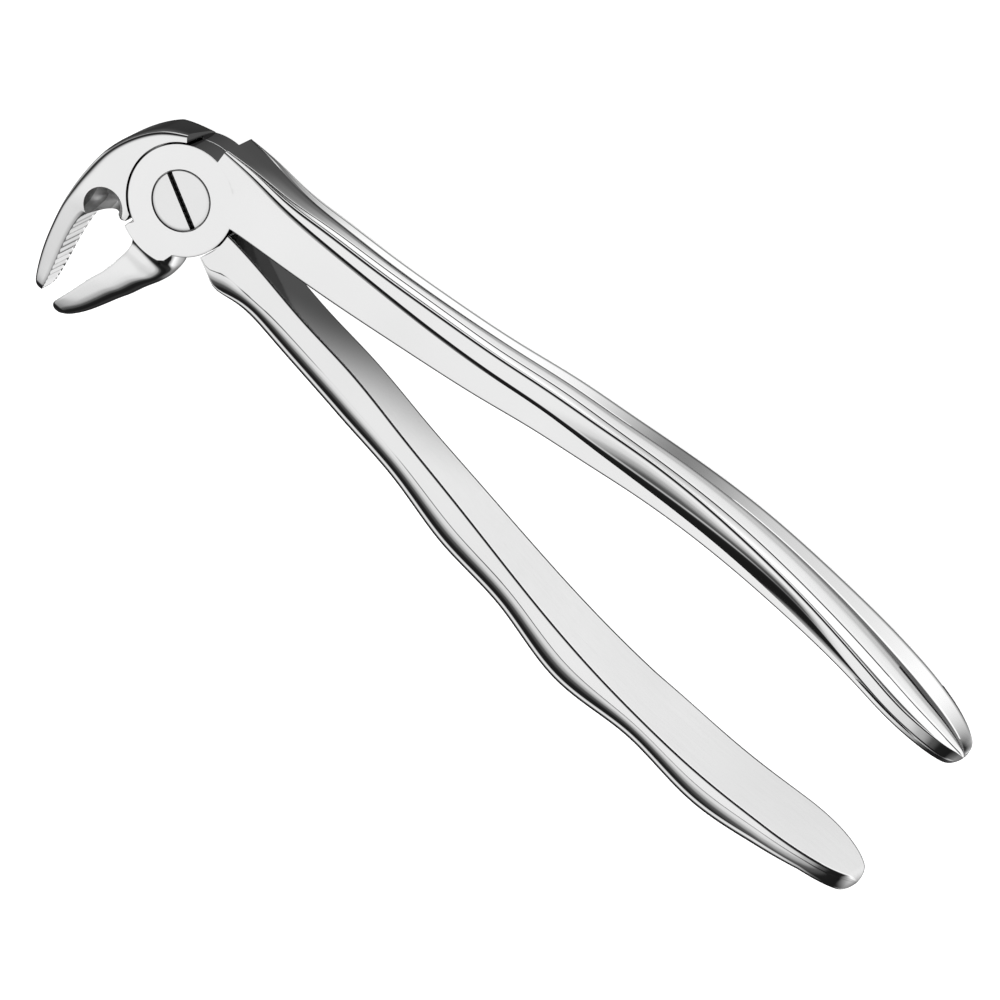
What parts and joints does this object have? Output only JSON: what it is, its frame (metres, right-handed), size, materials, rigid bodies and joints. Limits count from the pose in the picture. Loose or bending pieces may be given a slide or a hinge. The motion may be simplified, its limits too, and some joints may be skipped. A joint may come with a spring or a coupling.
{
  "type": "extraction forceps",
  "caption": "Dental extraction forceps with two lapped halves on a slotted pivot screw, serrated hawk-bill beaks bent square to the handles, and fluted flaring handles.",
  "frame": {"origin": "centre of the pivot screw's flush end, on the joint's back face", "axes": "+Z along the hinge towards the screw's slotted head, +X from the hinge towards the point midway between the handle ends, and the beaks point along -Y"},
  "size_m": [0.1561, 0.0478, 0.0188],
  "materials": {
    "front_half_steel": "mirror-polished stainless steel",
    "back_half_steel": "mirror-polished stainless steel",
    "screw_steel": "turned stainless steel, head ground flush and polished with the joint"
  },
  "bodies": {
    "back": {"back_half": "back_half_steel", "pivot_screw": "screw_steel"},
    "front": {"front_half": "front_half_steel"}
  },
  "joints": [
    {"name": "pivot", "type": "hinge", "parent": "back", "child": "front", "pos_m": [0, 0, 0.005], "axis": [0, 0, 1], "range_deg": [-2, 24]}
  ]
}
